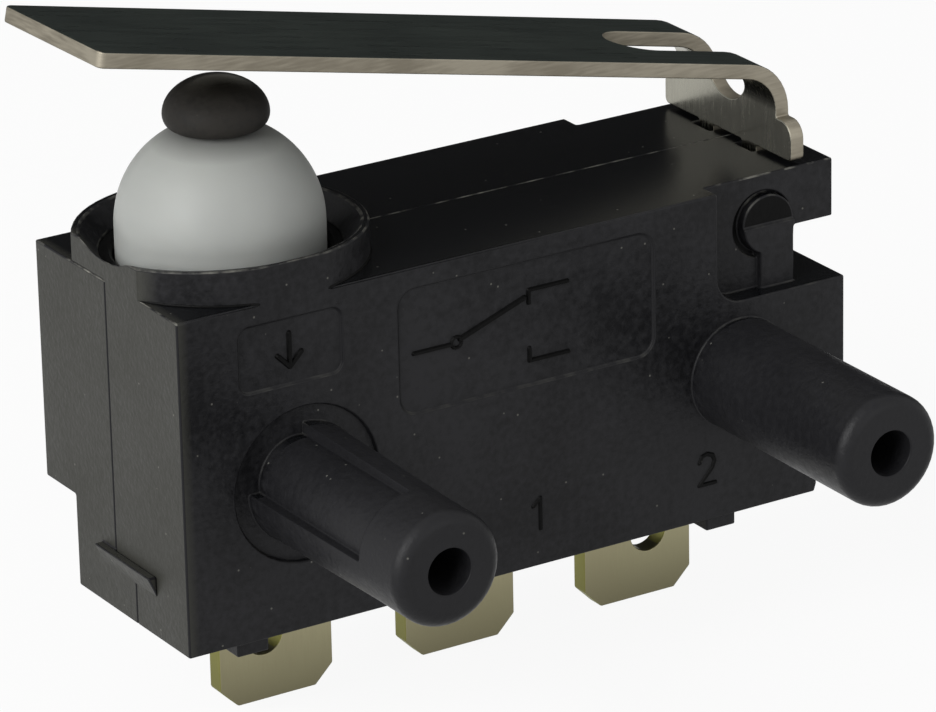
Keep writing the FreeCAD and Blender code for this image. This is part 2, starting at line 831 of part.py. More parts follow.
def contact_arm():
    """Flat arm from the post to the contacts, tilted up to the upper contact at rest."""
    pivot = post_x + blade
    edge_x = pivot - post_groove + pivot_gap
    edge = pivot_edge / 2
    z0 = contact_pivot_z - arm / 2
    z1 = contact_pivot_z + arm / 2
    points = [(edge_x, contact_pivot_z - edge), (edge_x + pivot_bevel, z0), (contact_end_x, z0),
              (contact_end_x, z1), (edge_x + pivot_bevel, z1), (edge_x, contact_pivot_z + edge)]
    solid = plate(points, mid_y - arm_width / 2, mid_y + arm_width / 2)
    hook = block(hook_right_x, hook_right_x + hook_thick, mid_y - hook_width / 2, mid_y + hook_width / 2,
                 z1 - arm / 2, z1 + hook_height)
    seat = round_bar(contact_radius, Vector(contact_x, mid_y, z0 - 1), Vector(0, 0, 1), 3)
    solid = solid.fuse(hook).cut(seat)
    solid.rotate(Vector(pivot, 0, contact_pivot_z), Vector(0, -1, 0), math.degrees(contact_angle))
    return solid.removeSplitter()


def moving_contact():
    """The double-faced contact riveted through the end of the contact arm."""
    reach = arm / 2 + contact_height
    face = contact_radius - contact_rim
    points = [(0, -reach), (face, -reach), (contact_radius, -reach + contact_rim),
              (contact_radius, reach - contact_rim), (face, reach), (0, reach)]
    solid = turned(straight_profile(points), contact_x, mid_y)
    solid.translate(Vector(0, 0, contact_pivot_z))
    pivot = post_x + blade
    solid.rotate(Vector(pivot, 0, contact_pivot_z), Vector(0, -1, 0), math.degrees(contact_angle))
    return solid


def snap_spring():
    """The tension spring between the two hooks, through the window of the post."""
    start = Vector(hook_left_x, mid_y, rocker_z - arm / 2 - snap_lift)
    swing = (hook_right_x - post_x - blade) * math.sin(contact_angle)
    end_z = contact_pivot_z + arm / 2 + snap_lift + swing
    end = Vector(hook_right_x - snap_end_in, mid_y, end_z)
    line = end - start
    solid = coil(snap_mean, snap_wire, line.Length - 2 * snap_end_gap, snap_turns, snap_spans)
    turn = FreeCAD.Rotation(Vector(0, 0, 1), line)
    foot = start + Vector(line).normalize().multiply(snap_end_gap)
    solid.Placement = FreeCAD.Placement(foot, turn).multiply(solid.Placement)
    return solid


def blade_seal(centre):
    """The resin that fills the well round one blade."""
    half = blade_width / 2
    side = half + blade_gap + resin_side
    solid = block(centre - side, centre + side, mid_y - resin_across / 2, mid_y + resin_across / 2,
                  resin_sink, resin_depth)
    slot = block(centre - half, centre + half, blade_front, blade_front + blade, -1, 1)
    return solid.cut(slot)


pieces = {
    "front_housing": front_housing(),
    "rear_housing": rear_housing(),
    "lever": lever(),
    "plunger": plunger(),
    "dome_seal": dome_seal(),
    "seal_clamp_ring": seal_clamp_ring(),
    "plunger_guide": plunger_guide(),
    "return_spring": return_spring(),
    "actuator_arm": actuator_arm(),
    "contact_arm": contact_arm(),
    "moving_contact": moving_contact(),
    "snap_spring": snap_spring(),
    "common_terminal": common_terminal(),
    "no_terminal": no_terminal(),
    "nc_terminal": nc_terminal(),
    "no_contact": no_contact(),
    "nc_contact": nc_contact(),
    "no_seal": blade_seal(blade_centres[0]),
    "common_seal": blade_seal(blade_centres[1]),
    "nc_seal": blade_seal(blade_centres[2]),
}

os.makedirs("parts", exist_ok=True)
for name, shape in pieces.items():
    moved = shape.copy()
    moved.translate(Vector(0, 0, 0) - origin)
    moved.exportStep("parts/" + name + ".step")
    print(name, len(moved.Solids), moved.isValid(), round(moved.Volume, 3))
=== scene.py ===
# %% [markdown]
# # A sealed micro switch, dressed for its picture
# The switch arrives as a finished set of solids in one shared frame: metres, +Z up, the origin on the
# mounting face at the plain peg. This notebook adds what a solid can't carry: the finish of each surface,
# the small rounding of moulded and sheared edges, fine moulded marks, and the light. The solids stay as they
# are: where an edge or a lip is shaped further, a copy of the solid stands for it.

# %% Load the frame
import bpy
import bmesh
import math
from mathutils import Matrix, Vector
from mathutils.bvhtree import BVHTree


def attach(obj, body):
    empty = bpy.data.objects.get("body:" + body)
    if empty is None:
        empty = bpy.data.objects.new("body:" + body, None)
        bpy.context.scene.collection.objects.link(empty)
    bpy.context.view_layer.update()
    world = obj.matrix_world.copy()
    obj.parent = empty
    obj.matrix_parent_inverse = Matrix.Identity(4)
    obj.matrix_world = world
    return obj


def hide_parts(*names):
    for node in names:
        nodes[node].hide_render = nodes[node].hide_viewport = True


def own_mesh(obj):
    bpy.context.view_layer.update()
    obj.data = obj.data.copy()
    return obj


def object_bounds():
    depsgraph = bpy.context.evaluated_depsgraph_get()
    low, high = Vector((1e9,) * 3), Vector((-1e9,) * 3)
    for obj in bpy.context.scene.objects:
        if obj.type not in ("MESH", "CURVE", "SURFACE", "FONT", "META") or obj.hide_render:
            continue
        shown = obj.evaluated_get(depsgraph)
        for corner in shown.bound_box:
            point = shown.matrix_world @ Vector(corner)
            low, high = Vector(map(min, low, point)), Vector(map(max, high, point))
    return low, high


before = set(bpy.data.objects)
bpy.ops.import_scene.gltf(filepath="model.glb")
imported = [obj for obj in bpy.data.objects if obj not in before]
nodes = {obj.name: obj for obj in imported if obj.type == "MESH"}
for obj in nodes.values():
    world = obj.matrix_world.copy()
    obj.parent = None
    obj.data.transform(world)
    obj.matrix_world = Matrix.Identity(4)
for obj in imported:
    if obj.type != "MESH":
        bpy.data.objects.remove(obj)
cad_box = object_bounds()
MM = 0.001

# %% [markdown]
# ## Drawing sizes
# The part is drawn from its own lower left corner, in millimetres: x to the right along the body, z up, and y
# from the mounting face into the body. The frame's origin lies at origin_x and origin_z of that drawing. A few
# sizes of the drawing are used below to find places on the part.

# %% Sizes of the drawing
origin_x, origin_z = 12.13, 2.86
body_length, body_top, mid_depth = 14.55, 6.55, 2.65
plunger_x, cup_floor = 2.45, 5.95
axis_x, axis_y = (plunger_x - origin_x) * MM, mid_depth * MM
print("plunger axis in mm:", round(axis_x / MM, 3), round(axis_y / MM, 3))

# %% [markdown]
# ## Where the camera stands
# The picture is taken with a long lens from the front left and above, so upright edges stay nearly upright.
# A camera looks along its own -Z with +Y up, so its matrix is built from three directions in the model's
# frame: to the right, up, and back towards the viewer. The long lens needs no shift.

# %% Camera
camera_place = Vector((-61.68, -90.74, 43.70)) * MM
camera_right = Vector((0.8480, -0.5296, -0.0208)).normalized()
camera_sight = Vector((0.4862, 0.7930, -0.3670)).normalized()
camera_lens = 239.1

camera_data = bpy.data.cameras.new("camera")
camera_data.lens = camera_lens
camera_data.sensor_width = 36.0
camera_data.clip_start = 5 * MM
camera_data.clip_end = 10.0
camera = bpy.data.objects.new("camera", camera_data)
bpy.context.scene.collection.objects.link(camera)
camera_back = -camera_sight
camera_up = camera_back.cross(camera_right).normalized()
camera_right = camera_up.cross(camera_back).normalized()
turn = Matrix((camera_right, camera_up, camera_back)).transposed().to_4x4()
camera.matrix_world = Matrix.Translation(camera_place) @ turn
bpy.context.scene.camera = camera
print("camera distance in mm:", round(camera_place.length / MM, 1))

# %% [markdown]
# ## Colours and nodes
# Colours are written as the hex values that a paint chart would use. Blender's shaders work in linear light,
# so one function turns hex to linear. A second small function adds a shader node with its settings and its
# links in one line, which keeps every material below short enough to read.

# %% Helpers for materials
def linear(hex_colour):
    channels = [int(hex_colour[k:k + 2], 16) / 255 for k in (1, 3, 5)]
    return [c / 12.92 if c <= 0.04045 else ((c + 0.055) / 1.055) ** 2.4 for c in channels] + [1.0]


def add(tree, kind, links=None, values=None, **settings):
    """Adds one node: links and values go to its sockets by name or number, settings to the node itself."""
    node = tree.nodes.new(kind)
    for name, value in settings.items():
        setattr(node, name, value)
    for name, value in (values or {}).items():
        node.inputs[name].default_value = value
    for name, source in (links or {}).items():
        tree.links.new(source, node.inputs[name])
    return node


def new_material(name):
    """An empty material with one Principled shader, and the place on the object that patterns start from."""
    material = bpy.data.materials.new(name)
    material.use_nodes = True
    tree = material.node_tree
    tree.nodes.clear()
    shader = tree.nodes.new("ShaderNodeBsdfPrincipled")
    output = tree.nodes.new("ShaderNodeOutputMaterial")
    tree.links.new(shader.outputs["BSDF"], output.inputs["Surface"])
    place = tree.nodes.new("ShaderNodeTexCoord").outputs["Object"]
    return material, tree, shader, place


def per_metre(size_in_mm):
    """Noise scale for features about this far apart, as object coordinates are in metres."""
    return 1.0 / (size_in_mm * MM)


# %% [markdown]
# ## Black PBT housing
# The two half shells are moulded in black PBT, a hard polyester with mineral filler. The mould's walls are
# spark-eroded, which leaves a fine mottled grain of about a tenth of a millimetre with a satin gloss. Its top
# has a polish and mirrors what stands on it, and its colour there is drawn darker, a painted shade. The end
# face is drawn lighter, a painted light for the sheen of the lamp on the left. The pegs are more even. A few
# specks of dust lie everywhere. The shader finds the top face by its normal, and the end face and the pegs by
# their place.

# %% Moulded PBT
def moulded_pbt(name, base, lift, top_colour, end_colour, gloss, dust, shine, top_shine):
    material, tree, shader, place = new_material(name)
    flow = add(tree, "ShaderNodeTexNoise", {"Vector": place}, {"Scale": per_metre(2.6), "Detail": 3.0})
    mottle = add(tree, "ShaderNodeTexNoise", {"Vector": place}, {"Scale": per_metre(0.14), "Detail": 5.0})
    both = add(tree, "ShaderNodeMath", {0: flow.outputs["Fac"], 1: mottle.outputs["Fac"]}, operation="ADD")
    share = add(tree, "ShaderNodeMapRange", {"Value": both.outputs[0]}, {"From Min": 0.80, "From Max": 1.20})
    skin = add(tree, "ShaderNodeMix", {0: share.outputs["Result"]}, {6: linear(base), 7: linear(lift)},
               data_type="RGBA")
    facing = add(tree, "ShaderNodeSeparateXYZ",
                 {0: add(tree, "ShaderNodeNewGeometry").outputs["Normal"]})
    where = add(tree, "ShaderNodeSeparateXYZ", {0: place})
    level = add(tree, "ShaderNodeMapRange", {"Value": facing.outputs["Z"]},
                {"From Min": 0.80, "From Max": 0.97})
    on_body = add(tree, "ShaderNodeMath", {0: where.outputs["Y"]}, {1: -0.1 * MM}, operation="GREATER_THAN")
    upward = add(tree, "ShaderNodeMath", {0: level.outputs["Result"], 1: on_body.outputs[0]},
                 operation="MULTIPLY")
    on_peg = add(tree, "ShaderNodeMapRange", {"Value": where.outputs["Y"]},
                 {"From Min": -0.05 * MM, "From Max": -0.3 * MM, "To Max": 0.75})
    middle = [(dark + light) / 2 for dark, light in zip(linear(base), linear(lift))]
    even = add(tree, "ShaderNodeMix", {0: on_peg.outputs["Result"], 6: skin.outputs[2]}, {7: middle},
               data_type="RGBA")
    # Painted light: the left end face takes the end colour, which for the housing is lighter than its grain.
    endward = add(tree, "ShaderNodeMapRange", {"Value": where.outputs["X"]},
                  {"From Min": -11.9 * MM, "From Max": -12.1 * MM})
    # Painted shade: faces that look up take the top colour, which for the housing is darker than its grain.
    on_top = add(tree, "ShaderNodeMix", {0: upward.outputs[0], 6: even.outputs[2]},
                 {7: linear(top_colour)}, data_type="RGBA")
    on_end = add(tree, "ShaderNodeMix", {0: endward.outputs["Result"], 6: on_top.outputs[2]},
                 {7: linear(end_colour)}, data_type="RGBA")
    cells = add(tree, "ShaderNodeTexVoronoi", {"Vector": place}, {"Scale": per_metre(0.42)})
    speck = add(tree, "ShaderNodeMapRange", {"Value": cells.outputs["Distance"]},
                {"From Min": 0.035, "From Max": 0.060, "To Min": dust, "To Max": 0.0})
    dusty = add(tree, "ShaderNodeMix", {0: speck.outputs["Result"], 6: on_end.outputs[2]},
                {7: linear("#84837c")}, data_type="RGBA")
    tree.links.new(dusty.outputs[2], shader.inputs["Base Color"])
    rough = add(tree, "ShaderNodeMapRange", {"Value": both.outputs[0]},
                {"From Min": 0.7, "From Max": 1.3, "To Min": gloss - 0.08, "To Max": gloss + 0.08})
    top_rough = add(tree, "ShaderNodeMix", {0: upward.outputs[0], 2: rough.outputs["Result"]}, {3: 0.24})
    tree.links.new(top_rough.outputs[0], shader.inputs["Roughness"])
    grain = add(tree, "ShaderNodeTexNoise", {"Vector": place}, {"Scale": per_metre(0.09), "Detail": 4.0})
    depth = add(tree, "ShaderNodeMapRange", {"Value": upward.outputs[0]}, {"To Min": 0.5, "To Max": 0.10})
    bump = add(tree, "ShaderNodeBump", {"Height": grain.outputs["Fac"], "Strength": depth.outputs["Result"]},
               {"Distance": 0.02 * MM})
    tree.links.new(bump.outputs["Normal"], shader.inputs["Normal"])
    shader.inputs["IOR"].default_value = 1.57
    shader.inputs["Specular IOR Level"].default_value = shine
    if top_shine != shine:
        shine_by_face = add(tree, "ShaderNodeMix", {0: upward.outputs[0]}, {2: shine, 3: top_shine})
        tree.links.new(shine_by_face.outputs[0], shader.inputs["Specular IOR Level"])
    return material


# For the housing, the top colour is a painted shade and the end colour is a painted light.
housing_pbt = moulded_pbt("moulded black PBT", base="#111113", lift="#232325", top_colour="#0b0c0e",
                          end_colour="#33332f", gloss=0.46, dust=0.45, shine=0.14, top_shine=0.30)
button_pbt = moulded_pbt("matt black PBT button", base="#181716", lift="#262421", top_colour="#1f1d1a",
                         end_colour="#262421", gloss=0.60, dust=0.25, shine=0.14, top_shine=0.14)
# The real inserts' material, also used as painted shade at the collar's foot, on the boss's upper half and on
# the raised marks.
insert_and_shade_pbt = moulded_pbt("smooth black PBT insert and painted shade", base="#0a0a0a", lift="#0f0f0f", top_colour="#101010",
                        end_colour="#0f0f0f", gloss=0.42, dust=0.10, shine=0.05, top_shine=0.05)
print("black plastics:", housing_pbt.name, button_pbt.name, insert_and_shade_pbt.name)

# %% [markdown]
# ## Rubbed edges and a painted highlight
# The upper edges of the housing are drawn as a thin, broken, lighter line: rubbed wear, and a painted highlight
# of the light that falls on them from above. Only the rounded edges get this colour, only where they look
# upward, and a noise breaks the line. It is strongest along the top, weaker on the collar's lip and faint lower
# down, and the pegs have none.

# %% Rubbed edge and painted highlight
def rubbed_edge_and_highlight():
    material, tree, shader, place = new_material("rubbed PBT edge with painted highlight")
    facing = add(tree, "ShaderNodeSeparateXYZ",
                 {0: add(tree, "ShaderNodeNewGeometry").outputs["Normal"]})
    # Painted highlight: the lighter colour goes only on edges that look upward, where the light falls.
    upward = add(tree, "ShaderNodeMapRange", {"Value": facing.outputs["Z"]},
                 {"From Min": 0.15, "From Max": 0.45})
    patches = add(tree, "ShaderNodeTexNoise", {"Vector": place}, {"Scale": per_metre(0.30), "Detail": 5.0})
    rubbed = add(tree, "ShaderNodeMapRange", {"Value": patches.outputs["Fac"]},
                 {"From Min": 0.44, "From Max": 0.72})
    where = add(tree, "ShaderNodeSeparateXYZ", {0: place})
    worn = add(tree, "ShaderNodeMapRange", {"Value": where.outputs["Z"]},
               {"From Min": 3.0 * MM, "From Max": 3.5 * MM, "To Min": 0.12, "To Max": 1.0})
    on_body = add(tree, "ShaderNodeMath", {0: where.outputs["Y"]}, {1: -0.1 * MM}, operation="GREATER_THAN")
    lip = add(tree, "ShaderNodeMapRange", {"Value": where.outputs["Z"]},
              {"From Min": 3.72 * MM, "From Max": 3.90 * MM, "To Min": 1.0, "To Max": 0.5})
    share = upward.outputs["Result"]
    for factor in (rubbed.outputs["Result"], worn.outputs["Result"], lip.outputs["Result"], on_body.outputs[0]):
        share = add(tree, "ShaderNodeMath", {0: share, 1: factor}, operation="MULTIPLY").outputs[0]
    # The lighter colour is rubbed wear and a painted highlight together.
    colour = add(tree, "ShaderNodeMix", {0: share}, {6: linear("#18181a"), 7: linear("#8a8981")},
                 data_type="RGBA")
    tree.links.new(colour.outputs[2], shader.inputs["Base Color"])
    shader.inputs["Roughness"].default_value = 0.50
    shader.inputs["IOR"].default_value = 1.57
    shader.inputs["Specular IOR Level"].default_value = 0.14
    return material


pbt_edge_and_highlight = rubbed_edge_and_highlight()
print("edge finish:", pbt_edge_and_highlight.name)

# %% [markdown]
# ## Silicone dome
# The plunger is sealed by a thin dome of white silicone rubber. Silicone lets some light in, which spreads
# about half a millimetre before it comes out again, so the dome looks soft, slightly grey, and a little warm
# in its shade. Just under the button it is drawn darker, as it lies in the shade of the button's rim there.

# %% Silicone rubber
def silicone_rubber():
    material, tree, shader, place = new_material("white silicone rubber")
    cloud = add(tree, "ShaderNodeTexNoise", {"Vector": place}, {"Scale": per_metre(1.6), "Detail": 2.0})
    colour = add(tree, "ShaderNodeMix", {0: cloud.outputs["Fac"]}, {6: linear("#999b98"), 7: linear("#a5a7a3")},
                 data_type="RGBA")
    height = add(tree, "ShaderNodeSeparateXYZ", {0: place}).outputs["Z"]
    neck = add(tree, "ShaderNodeMapRange", {"Value": height}, {"From Min": 5.85 * MM, "From Max": 6.15 * MM})
    ringed = add(tree, "ShaderNodeMix", {0: neck.outputs["Result"], 6: colour.outputs[2]},
                 {7: linear("#727370")}, data_type="RGBA")
    tree.links.new(ringed.outputs[2], shader.inputs["Base Color"])
    skin = add(tree, "ShaderNodeTexNoise", {"Vector": place}, {"Scale": per_metre(0.12), "Detail": 2.0})
    bump = add(tree, "ShaderNodeBump", {"Height": skin.outputs["Fac"]},
               {"Strength": 0.10, "Distance": 0.01 * MM})
    tree.links.new(bump.outputs["Normal"], shader.inputs["Normal"])
    shader.inputs["IOR"].default_value = 1.41
    shader.inputs["Roughness"].default_value = 0.50
    shader.inputs["Subsurface Weight"].default_value = 0.30
    shader.inputs["Subsurface Radius"].default_value = (1.0, 0.95, 0.85)
    shader.inputs["Subsurface Scale"].default_value = 0.5 * MM
    return material


dome_silicone = silicone_rubber()
print("rubber:", dome_silicone.name)

# %% [markdown]
# ## Sheet metal, blades and springs
# The lever is blanked from rolled stainless sheet. The upper face of its arm is drawn dark and dull, a painted
# shade for the dark surroundings it mirrors, which a part share of plain paint-like shading gives; the upright
# flange is bright, and the sheared edges are pale and rough. The blades are brass under a thin coat of tin,
# brushed along their length, and drawn darker towards their lower ends, a painted shade. All are the same
# recipe, a metal whose
# colour and roughness are drawn out along one direction and change slowly in patches. Real brush lines are
# finer:
# these are drawn 0.04 to 0.12 mm wide so that they show.

# %% Rolled and brushed metal
def brushed_metal(name, low, high, rough, stretch, line_mm, metal=1.0, relief=0.15, painted_shade_end=None,
                  upright=None):
    material, tree, shader, place = new_material(name)
    along = add(tree, "ShaderNodeMapping", {"Vector": place}, {"Scale": stretch})
    lines = add(tree, "ShaderNodeTexNoise", {"Vector": along.outputs["Vector"]},
                {"Scale": per_metre(line_mm), "Detail": 4.0})
    patches = add(tree, "ShaderNodeTexNoise", {"Vector": place}, {"Scale": per_metre(1.8), "Detail": 3.0})
    both = add(tree, "ShaderNodeMath", {0: lines.outputs["Fac"], 1: patches.outputs["Fac"]}, operation="ADD")
    share = add(tree, "ShaderNodeMapRange", {"Value": both.outputs[0]}, {"From Min": 0.80, "From Max": 1.20})
    colour = add(tree, "ShaderNodeMix", {0: share.outputs["Result"]}, {6: linear(low), 7: linear(high)},
                 data_type="RGBA")
    # Painted shade: the colour darkens towards the lower ends.
    if painted_shade_end:
        height = add(tree, "ShaderNodeSeparateXYZ", {0: place}).outputs["Z"]
        down = add(tree, "ShaderNodeMapRange", {"Value": height},
                   {"From Min": -3.2 * MM, "From Max": -5.4 * MM})
        colour = add(tree, "ShaderNodeMix", {0: down.outputs["Result"], 6: colour.outputs[2]},
                     {7: linear(painted_shade_end)}, data_type="RGBA")
    tree.links.new(colour.outputs[2], shader.inputs["Base Color"])
    spread = add(tree, "ShaderNodeMapRange", {"Value": lines.outputs["Fac"]},
                 {"From Min": 0.3, "From Max": 0.7, "To Min": rough - 0.06, "To Max": rough + 0.08})
    tree.links.new(spread.outputs["Result"], shader.inputs["Roughness"])
    bump = add(tree, "ShaderNodeBump", {"Height": lines.outputs["Fac"]},
               {"Strength": relief, "Distance": 0.01 * MM})
    tree.links.new(bump.outputs["Normal"], shader.inputs["Normal"])
    shader.inputs["Metallic"].default_value = metal
    # Painted shade: faces that look up take the dark colour and little metal, faces that stand upright the
    # bright colour.
    if upright:
        facing = add(tree, "ShaderNodeSeparateXYZ", {0: add(tree, "ShaderNodeNewGeometry").outputs["Normal"]})
        level = add(tree, "ShaderNodeMapRange", {"Value": facing.outputs["Z"]},
                    {"From Min": 0.10, "From Max": 0.80})
        turned = add(tree, "ShaderNodeMix", {0: level.outputs["Result"], 7: colour.outputs[2]},
                     {6: linear(upright)}, data_type="RGBA")
        tree.links.new(turned.outputs[2], shader.inputs["Base Color"])
        metal_share = add(tree, "ShaderNodeMapRange", {"Value": level.outputs["Result"]},
                          {"To Min": 1.0, "To Max": metal})
        tree.links.new(metal_share.outputs["Result"], shader.inputs["Metallic"])
    return material


# Painted shade: a dark copy of the stainless for the arm's upper face.
lever_shaded_face = brushed_metal("rolled stainless with painted dark top", "#2a302d", "#333935", 0.32, (0.08, 1.0, 0.08), 0.12,
                           metal=0.25, upright="#939185")
lever_bare = brushed_metal("bare rolled stainless", "#949287", "#9f9d91", 0.22, (1.0, 1.0, 0.1), 0.05,
                           relief=0.04)
lever_edge = brushed_metal("sheared stainless edge", "#7b7568", "#969082", 0.55, (0.12, 0.12, 1.0), 0.06)
# The blades' colours darken towards their lower ends, a painted shade.
blade_tin = brushed_metal("tin-plated brass", "#a09a7c", "#a9a484", 0.36, (1.0, 1.0, 0.08), 0.04,
                          relief=0.04, painted_shade_end="#69654f")
spring_steel = brushed_metal("drawn spring wire", "#b4b4b2", "#c6c6c4", 0.25, (1.0, 1.0, 1.0), 0.10)
arm_copper = brushed_metal("rolled copper alloy", "#b98a5c", "#cb9a68", 0.30, (0.08, 1.0, 1.0), 0.10)
blade_edge = brushed_metal("sheared brass edge", "#8b8948", "#a3a161", 0.50, (1.0, 1.0, 0.08), 0.05,
                           relief=0.08, painted_shade_end="#6c6a3a")
contact_silver = brushed_metal("silver alloy contact", "#d2d0ca", "#e0ded8", 0.25, (1.0, 1.0, 1.0), 0.10)
print("metals:", lever_shaded_face.name, lever_bare.name, lever_edge.name, blade_tin.name)

# %% [markdown]
# ## Sealing resin
# Cast epoxy closes the slots round the blades. It sets with a smooth, slightly sunken skin, so it is the
# glossiest dark surface on the part.

# %% Epoxy resin
def cast_epoxy():
    material, tree, shader, place = new_material("cast epoxy resin")
    cloud = add(tree, "ShaderNodeTexNoise", {"Vector": place}, {"Scale": per_metre(0.8), "Detail": 2.0})
    colour = add(tree, "ShaderNodeMix", {0: cloud.outputs["Fac"]}, {6: linear("#141210"), 7: linear("#1f1b17")},
                 data_type="RGBA")
    tree.links.new(colour.outputs[2], shader.inputs["Base Color"])
    ripple = add(tree, "ShaderNodeBump", {"Height": cloud.outputs["Fac"]},
                 {"Strength": 0.2, "Distance": 0.05 * MM})
    tree.links.new(ripple.outputs["Normal"], shader.inputs["Normal"])
    shader.inputs["Roughness"].default_value = 0.18
    shader.inputs["IOR"].default_value = 1.55
    return material


resin = cast_epoxy()
print("resin:", resin.name)

# %% [markdown]
# ## Finish on every solid
# Each solid keeps its shape and takes the finish of what it is made of.

# %% Assign the finishes
finishes = {
    "front_housing": housing_pbt, "rear_housing": housing_pbt, "lever": lever_shaded_face, "plunger": button_pbt,
    "dome_seal": dome_silicone, "seal_clamp_ring": insert_and_shade_pbt, "plunger_guide": insert_and_shade_pbt,
    "return_spring": spring_steel, "actuator_arm": arm_copper, "contact_arm": arm_copper,
    "moving_contact": contact_silver, "snap_spring": spring_steel, "common_terminal": blade_tin,
    "no_terminal": blade_tin, "nc_terminal": blade_tin, "no_contact": contact_silver,
    "nc_contact": contact_silver, "common_seal": resin, "no_seal": resin, "nc_seal": resin,
}
for name, material in finishes.items():
    mesh = nodes[name].data
    mesh.materials.clear()
    mesh.materials.append(material)
print("finished nodes:", len(finishes))

# %% [markdown]
# ## Rounded edges
# No moulded or sheared edge is perfectly sharp: it is rounded by a few hundredths of a millimetre, and that
# round catches the light as a thin bright line. A bevel modifier on a copy of the solid makes it. The copy is
# first cleaned, so that only real edges are left: doubled points are merged and flat triangles joined to
# one face. The work is done on a copy in millimetres, because Blender's mesh tools treat a step of a
# hundredth of a millimetre, written in metres, as nothing. Weighted normals keep the flat faces flat. Where
# edges meet at a very narrow angle, the bevel can throw a point out, so every point that lies too far from the
# solid is brought back to the nearest place on it.

# %% A rounded copy of a solid
moulded_round, sheared_round = 0.035, 0.03
stray_limit = 0.06 * MM


def put_in_place(piece, body, slot, *stands_for):
    bpy.context.scene.collection.objects.link(piece)
    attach(piece, body)
    if stands_for:
        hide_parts(*stands_for)


def rounded_copy(name, width_mm, body, slot, edge_wear_and_highlight=None):
    mesh = nodes[name].data.copy()
    mesh.transform(Matrix.Scale(1 / MM, 4))
    shape = bmesh.new()
    shape.from_mesh(mesh)
    bmesh.ops.remove_doubles(shape, verts=shape.verts, dist=0.001)
    bmesh.ops.dissolve_limit(shape, angle_limit=math.radians(1), verts=shape.verts, edges=shape.edges)
    shape.to_mesh(mesh)
    shape.free()
    mesh.polygons.foreach_set("use_smooth", [True] * len(mesh.polygons))
    piece = bpy.data.objects.new(name + "_rounded", mesh)
    put_in_place(piece, body, slot, name)
    bevel = piece.modifiers.new("edge round", "BEVEL")
    bevel.width = width_mm
    bevel.segments = 2
    bevel.limit_method = "ANGLE"
    bevel.angle_limit = math.radians(30)
    bevel.use_clamp_overlap = False
    bevel.miter_outer = "MITER_ARC"
    if edge_wear_and_highlight:
        mesh.materials.append(edge_wear_and_highlight)
        bevel.material = len(mesh.materials) - 1
    piece.modifiers.new("flat faces", "WEIGHTED_NORMAL")
    bpy.context.view_layer.update()
    state = bpy.context.evaluated_depsgraph_get()
    finished = bpy.data.meshes.new_from_object(piece.evaluated_get(state), depsgraph=state)
    finished.transform(Matrix.Scale(MM, 4))
    solid = BVHTree.FromPolygons([point.co for point in nodes[name].data.vertices],
                                 [list(face.vertices) for face in nodes[name].data.polygons])
    strays = 0
    for point in finished.vertices:
        nearest, _, _, away = solid.find_nearest(point.co)
        if away > stray_limit:
            point.co = nearest
            strays += 1
    piece.modifiers.clear()
    piece.data = finished
    print(piece.name, "faces:", len(finished.polygons), "strays brought back:", strays)
    return piece


# %% Housing
front_shell = rounded_copy("front_housing", moulded_round, "housing", "housing_plastic", pbt_edge_and_highlight)
rounded_copy("rear_housing", moulded_round, "housing", "housing_plastic", pbt_edge_and_highlight)

# %% [markdown]
# The collar's lip stands a little prouder at the front. The copy's lip points are raised there, most at the
# front and not at all at the sides. The inner corner at the collar's foot gets no painted highlight and lies in
# shade, so its faces take the darker insert material as a painted shade.

# %% Collar lip
lip_low, lip_top = (body_top + 0.25 - origin_z) * MM, (body_top + 0.57 - origin_z) * MM
lip_rise = 0.13 * MM
raised = 0
for point in front_shell.data.vertices:
    ahead = (axis_y - point.co.y) / axis_y
    if point.co.z > lip_low and ahead > 0:
        point.co.z += lip_rise * ahead ** 1.5 * (point.co.z - lip_low) / (lip_top - lip_low)
        raised += 1
print("lip points raised:", raised)
collar_reach, foot_low, foot_top = 3.0 * MM, 3.60 * MM, 3.80 * MM
edge_slot, painted_shade_slot = 1, len(front_shell.data.materials)
front_shell.data.materials.append(insert_and_shade_pbt)
foot_faces = 0
# Painted shade: the faces at the collar's foot take the darker insert material.
for face in front_shell.data.polygons:
    from_axis = math.hypot(face.center.x - axis_x, face.center.y - axis_y)
    if face.material_index == edge_slot and from_axis < collar_reach and foot_low < face.center.z < foot_top:
        face.material_index = painted_shade_slot
        foot_faces += 1
print("smooth faces at the collar's foot:", foot_faces)

# %% [markdown]
# The round boss at the hinge end is drawn smoother and darker in its upper half; the darker colour is a painted
# shade.

# %% Boss
boss_centre = Vector((body_length - 1.50 - origin_x, 0, body_top - 0.99 - origin_z)) * MM
boss_radius, boss_deepest = 0.56 * MM, 1.5 * MM
boss_faces = 0
# Painted shade: the upper half of the boss takes the darker insert material.
for face in front_shell.data.polygons:
    across = Vector((face.center.x, 0, face.center.z)) - boss_centre
    looks_out = face.normal.y < -0.95 and face.center.y < boss_deepest
    if looks_out and across.length < boss_radius and across.z > 0:
        face.material_index = painted_shade_slot
        boss_faces += 1
print("smooth faces on the boss:", boss_faces)

# %% [markdown]
# The narrow sides of the blades are sheared and show the yellow brass under the tin, where the blades stand
# out of the housing.

# %% Blades
shown_below = -3.12 * MM
for name in ("no_terminal", "common_terminal", "nc_terminal"):
    blade = rounded_copy(name, sheared_round, "housing", "terminal_brass")
    blade.data.materials.append(blade_edge)
    for face in blade.data.polygons:
        lowest = min(blade.data.vertices[number].co.z for number in face.vertices)
        if abs(face.normal.x) > 0.6 and lowest < shown_below:
            face.material_index = 1

